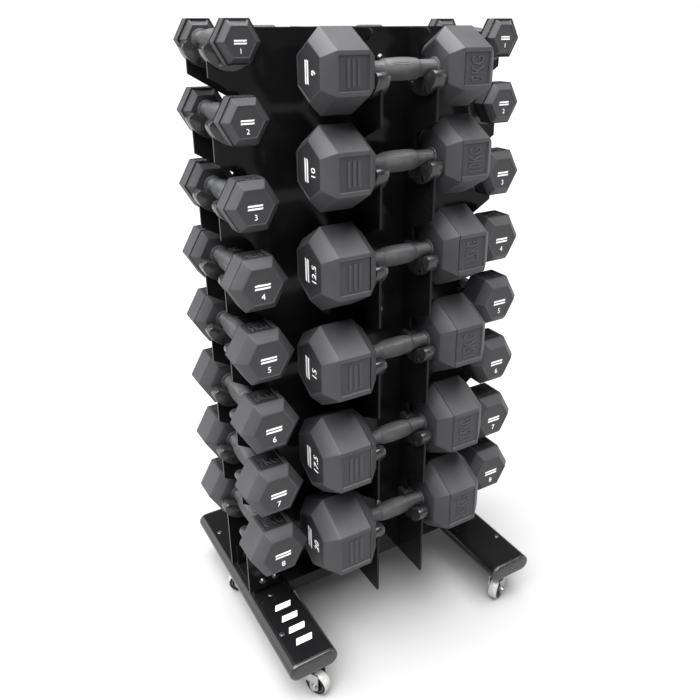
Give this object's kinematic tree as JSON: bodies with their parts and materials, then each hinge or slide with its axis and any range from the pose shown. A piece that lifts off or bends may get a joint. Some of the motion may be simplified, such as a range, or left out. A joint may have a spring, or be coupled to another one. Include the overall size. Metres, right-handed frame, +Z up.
{
  "type": "dumbbell rack",
  "caption": "Black steel tower rack with toothed plates and fins, holding hexagonal dumbbells in moulded saddles on all four sides, on two oval feet with swivel casters.",
  "frame": {"origin": "on the floor, under the middle of the rack", "axes": "+Z up, -Y the front with the heavy dumbbells facing it, +X across between the two feet"},
  "size_m": [0.583, 0.5, 1.1263],
  "materials": {
    "frame_black": "gloss",
    "moulded_plastic": "satin",
    "black_screw": "satin",
    "dumbbell_iron": "satin",
    "caster_steel": "satin",
    "wheel_tyre": "satin"
  },
  "bodies": {
    "rack": {"foot_tube_left": "frame_black", "foot_tube_right": "frame_black", "foot_end_caps": "moulded_plastic", "crossmember": "frame_black", "foot_brackets": "frame_black", "plate_front": "frame_black", "plate_rear": "frame_black", "front_fin_left": "frame_black", "front_fin_right": "frame_black", "rear_fin_left": "frame_black", "rear_fin_right": "frame_black", "front_web": "frame_black", "rear_web": "frame_black", "side_webs": "frame_black", "saddles_side": "moulded_plastic", "saddles_front_rear": "moulded_plastic", "saddle_screws": "black_screw", "frame_bolts": "black_screw", "caster_mounts": "caster_steel"},
    "dumbbell_left_1kg": {"dumbbell_left_1kg": "dumbbell_iron"},
    "dumbbell_left_2kg": {"dumbbell_left_2kg": "dumbbell_iron"},
    "dumbbell_left_3kg": {"dumbbell_left_3kg": "dumbbell_iron"},
    "dumbbell_left_4kg": {"dumbbell_left_4kg": "dumbbell_iron"},
    "dumbbell_left_5kg": {"dumbbell_left_5kg": "dumbbell_iron"},
    "dumbbell_left_6kg": {"dumbbell_left_6kg": "dumbbell_iron"},
    "dumbbell_left_7kg": {"dumbbell_left_7kg": "dumbbell_iron"},
    "dumbbell_left_8kg": {"dumbbell_left_8kg": "dumbbell_iron"},
    "dumbbell_right_1kg": {"dumbbell_right_1kg": "dumbbell_iron"},
    "dumbbell_right_2kg": {"dumbbell_right_2kg": "dumbbell_iron"},
    "dumbbell_right_3kg": {"dumbbell_right_3kg": "dumbbell_iron"},
    "dumbbell_right_4kg": {"dumbbell_right_4kg": "dumbbell_iron"},
    "dumbbell_right_5kg": {"dumbbell_right_5kg": "dumbbell_iron"},
    "dumbbell_right_6kg": {"dumbbell_right_6kg": "dumbbell_iron"},
    "dumbbell_right_7kg": {"dumbbell_right_7kg": "dumbbell_iron"},
    "dumbbell_right_8kg": {"dumbbell_right_8kg": "dumbbell_iron"},
    "dumbbell_front_9kg": {"dumbbell_front_9kg": "dumbbell_iron"},
    "dumbbell_front_10kg": {"dumbbell_front_10kg": "dumbbell_iron"},
    "dumbbell_front_12_5kg": {"dumbbell_front_12_5kg": "dumbbell_iron"},
    "dumbbell_front_15kg": {"dumbbell_front_15kg": "dumbbell_iron"},
    "dumbbell_front_17_5kg": {"dumbbell_front_17_5kg": "dumbbell_iron"},
    "dumbbell_front_20kg": {"dumbbell_front_20kg": "dumbbell_iron"},
    "dumbbell_rear_9kg": {"dumbbell_rear_9kg": "dumbbell_iron"},
    "dumbbell_rear_10kg": {"dumbbell_rear_10kg": "dumbbell_iron"},
    "dumbbell_rear_12_5kg": {"dumbbell_rear_12_5kg": "dumbbell_iron"},
    "dumbbell_rear_15kg": {"dumbbell_rear_15kg": "dumbbell_iron"},
    "dumbbell_rear_17_5kg": {"dumbbell_rear_17_5kg": "dumbbell_iron"},
    "dumbbell_rear_20kg": {"dumbbell_rear_20kg": "dumbbell_iron"},
    "caster_fork_front_left": {"caster_fork_front_left": "caster_steel"},
    "caster_wheel_front_left": {"caster_wheel_front_left": "wheel_tyre"},
    "caster_fork_front_right": {"caster_fork_front_right": "caster_steel"},
    "caster_wheel_front_right": {"caster_wheel_front_right": "wheel_tyre"},
    "caster_fork_middle_left": {"caster_fork_middle_left": "caster_steel"},
    "caster_wheel_middle_left": {"caster_wheel_middle_left": "wheel_tyre"},
    "caster_fork_middle_right": {"caster_fork_middle_right": "caster_steel"},
    "caster_wheel_middle_right": {"caster_wheel_middle_right": "wheel_tyre"},
    "caster_fork_rear_left": {"caster_fork_rear_left": "caster_steel"},
    "caster_wheel_rear_left": {"caster_wheel_rear_left": "wheel_tyre"},
    "caster_fork_rear_right": {"caster_fork_rear_right": "caster_steel"},
    "caster_wheel_rear_right": {"caster_wheel_rear_right": "wheel_tyre"}
  },
  "joints": [
    {"name": "lift_left_1kg", "type": "slide", "parent": "rack", "child": "dumbbell_left_1kg", "axis": [-0.8829, 0, 0.4695], "range_m": [0, 0.25]},
    {"name": "lift_left_2kg", "type": "slide", "parent": "rack", "child": "dumbbell_left_2kg", "axis": [-0.8829, 0, 0.4695], "range_m": [0, 0.25]},
    {"name": "lift_left_3kg", "type": "slide", "parent": "rack", "child": "dumbbell_left_3kg", "axis": [-0.8829, 0, 0.4695], "range_m": [0, 0.25]},
    {"name": "lift_left_4kg", "type": "slide", "parent": "rack", "child": "dumbbell_left_4kg", "axis": [-0.8829, 0, 0.4695], "range_m": [0, 0.25]},
    {"name": "lift_left_5kg", "type": "slide", "parent": "rack", "child": "dumbbell_left_5kg", "axis": [-0.8829, 0, 0.4695], "range_m": [0, 0.25]},
    {"name": "lift_left_6kg", "type": "slide", "parent": "rack", "child": "dumbbell_left_6kg", "axis": [-0.8829, 0, 0.4695], "range_m": [0, 0.25]},
    {"name": "lift_left_7kg", "type": "slide", "parent": "rack", "child": "dumbbell_left_7kg", "axis": [-0.8829, 0, 0.4695], "range_m": [0, 0.25]},
    {"name": "lift_left_8kg", "type": "slide", "parent": "rack", "child": "dumbbell_left_8kg", "axis": [-0.8829, 0, 0.4695], "range_m": [0, 0.25]},
    {"name": "lift_right_1kg", "type": "slide", "parent": "rack", "child": "dumbbell_right_1kg", "axis": [0.8829, 0, 0.4695], "range_m": [0, 0.25]},
    {"name": "lift_right_2kg", "type": "slide", "parent": "rack", "child": "dumbbell_right_2kg", "axis": [0.8829, 0, 0.4695], "range_m": [0, 0.25]},
    {"name": "lift_right_3kg", "type": "slide", "parent": "rack", "child": "dumbbell_right_3kg", "axis": [0.8829, 0, 0.4695], "range_m": [0, 0.25]},
    {"name": "lift_right_4kg", "type": "slide", "parent": "rack", "child": "dumbbell_right_4kg", "axis": [0.8829, 0, 0.4695], "range_m": [0, 0.25]},
    {"name": "lift_right_5kg", "type": "slide", "parent": "rack", "child": "dumbbell_right_5kg", "axis": [0.8829, 0, 0.4695], "range_m": [0, 0.25]},
    {"name": "lift_right_6kg", "type": "slide", "parent": "rack", "child": "dumbbell_right_6kg", "axis": [0.8829, 0, 0.4695], "range_m": [0, 0.25]},
    {"name": "lift_right_7kg", "type": "slide", "parent": "rack", "child": "dumbbell_right_7kg", "axis": [0.8829, 0, 0.4695], "range_m": [0, 0.25]},
    {"name": "lift_right_8kg", "type": "slide", "parent": "rack", "child": "dumbbell_right_8kg", "axis": [0.8829, 0, 0.4695], "range_m": [0, 0.25]},
    {"name": "lift_front_9kg", "type": "slide", "parent": "rack", "child": "dumbbell_front_9kg", "axis": [0, -0.8829, 0.4695], "range_m": [0, 0.25]},
    {"name": "lift_front_10kg", "type": "slide", "parent": "rack", "child": "dumbbell_front_10kg", "axis": [0, -0.8829, 0.4695], "range_m": [0, 0.25]},
    {"name": "lift_front_12_5kg", "type": "slide", "parent": "rack", "child": "dumbbell_front_12_5kg", "axis": [0, -0.8829, 0.4695], "range_m": [0, 0.25]},
    {"name": "lift_front_15kg", "type": "slide", "parent": "rack", "child": "dumbbell_front_15kg", "axis": [0, -0.8829, 0.4695], "range_m": [0, 0.25]},
    {"name": "lift_front_17_5kg", "type": "slide", "parent": "rack", "child": "dumbbell_front_17_5kg", "axis": [0, -0.8829, 0.4695], "range_m": [0, 0.25]},
    {"name": "lift_front_20kg", "type": "slide", "parent": "rack", "child": "dumbbell_front_20kg", "axis": [0, -0.8829, 0.4695], "range_m": [0, 0.25]},
    {"name": "lift_rear_9kg", "type": "slide", "parent": "rack", "child": "dumbbell_rear_9kg", "axis": [0, 0.8829, 0.4695], "range_m": [0, 0.25]},
    {"name": "lift_rear_10kg", "type": "slide", "parent": "rack", "child": "dumbbell_rear_10kg", "axis": [0, 0.8829, 0.4695], "range_m": [0, 0.25]},
    {"name": "lift_rear_12_5kg", "type": "slide", "parent": "rack", "child": "dumbbell_rear_12_5kg", "axis": [0, 0.8829, 0.4695], "range_m": [0, 0.25]},
    {"name": "lift_rear_15kg", "type": "slide", "parent": "rack", "child": "dumbbell_rear_15kg", "axis": [0, 0.8829, 0.4695], "range_m": [0, 0.25]},
    {"name": "lift_rear_17_5kg", "type": "slide", "parent": "rack", "child": "dumbbell_rear_17_5kg", "axis": [0, 0.8829, 0.4695], "range_m": [0, 0.25]},
    {"name": "lift_rear_20kg", "type": "slide", "parent": "rack", "child": "dumbbell_rear_20kg", "axis": [0, 0.8829, 0.4695], "range_m": [0, 0.25]},
    {"name": "swivel_front_left", "type": "hinge", "parent": "rack", "child": "caster_fork_front_left", "pos_m": [-0.227, -0.21, 0.05], "axis": [0, 0, 1], "continuous": true},
    {"name": "roll_front_left", "type": "hinge", "parent": "caster_fork_front_left", "child": "caster_wheel_front_left", "pos_m": [-0.217, -0.22732, 0.023], "axis": [0.866, 0.5, 0], "continuous": true},
    {"name": "swivel_front_right", "type": "hinge", "parent": "rack", "child": "caster_fork_front_right", "pos_m": [0.227, -0.21, 0.05], "axis": [0, 0, 1], "continuous": true},
    {"name": "roll_front_right", "type": "hinge", "parent": "caster_fork_front_right", "child": "caster_wheel_front_right", "pos_m": [0.20887, -0.21845, 0.023], "axis": [0.4226, -0.9063, 0], "continuous": true},
    {"name": "swivel_middle_left", "type": "hinge", "parent": "rack", "child": "caster_fork_middle_left", "pos_m": [-0.227, 0.069, 0.05], "axis": [0, 0, 1], "continuous": true},
    {"name": "roll_middle_left", "type": "hinge", "parent": "caster_fork_middle_left", "child": "caster_wheel_middle_left", "pos_m": [-0.24466, 0.07839, 0.023], "axis": [-0.4695, -0.8829, 0], "continuous": true},
    {"name": "swivel_middle_right", "type": "hinge", "parent": "rack", "child": "caster_fork_middle_right", "pos_m": [0.227, 0.069, 0.05], "axis": [0, 0, 1], "continuous": true},
    {"name": "roll_middle_right", "type": "hinge", "parent": "caster_fork_middle_right", "child": "caster_wheel_middle_right", "pos_m": [0.24579, 0.07584, 0.023], "axis": [-0.342, 0.9397, 0], "continuous": true},
    {"name": "swivel_rear_left", "type": "hinge", "parent": "rack", "child": "caster_fork_rear_left", "pos_m": [-0.227, 0.21, 0.05], "axis": [0, 0, 1], "continuous": true},
    {"name": "roll_rear_left", "type": "hinge", "parent": "caster_fork_rear_left", "child": "caster_wheel_rear_left", "pos_m": [-0.217, 0.22732, 0.023], "axis": [-0.866, 0.5, 0], "continuous": true},
    {"name": "swivel_rear_right", "type": "hinge", "parent": "rack", "child": "caster_fork_rear_right", "pos_m": [0.227, 0.21, 0.05], "axis": [0, 0, 1], "continuous": true},
    {"name": "roll_rear_right", "type": "hinge", "parent": "caster_fork_rear_right", "child": "caster_wheel_rear_right", "pos_m": [0.20968, 0.22, 0.023], "axis": [-0.5, -0.866, 0], "continuous": true}
  ]
}
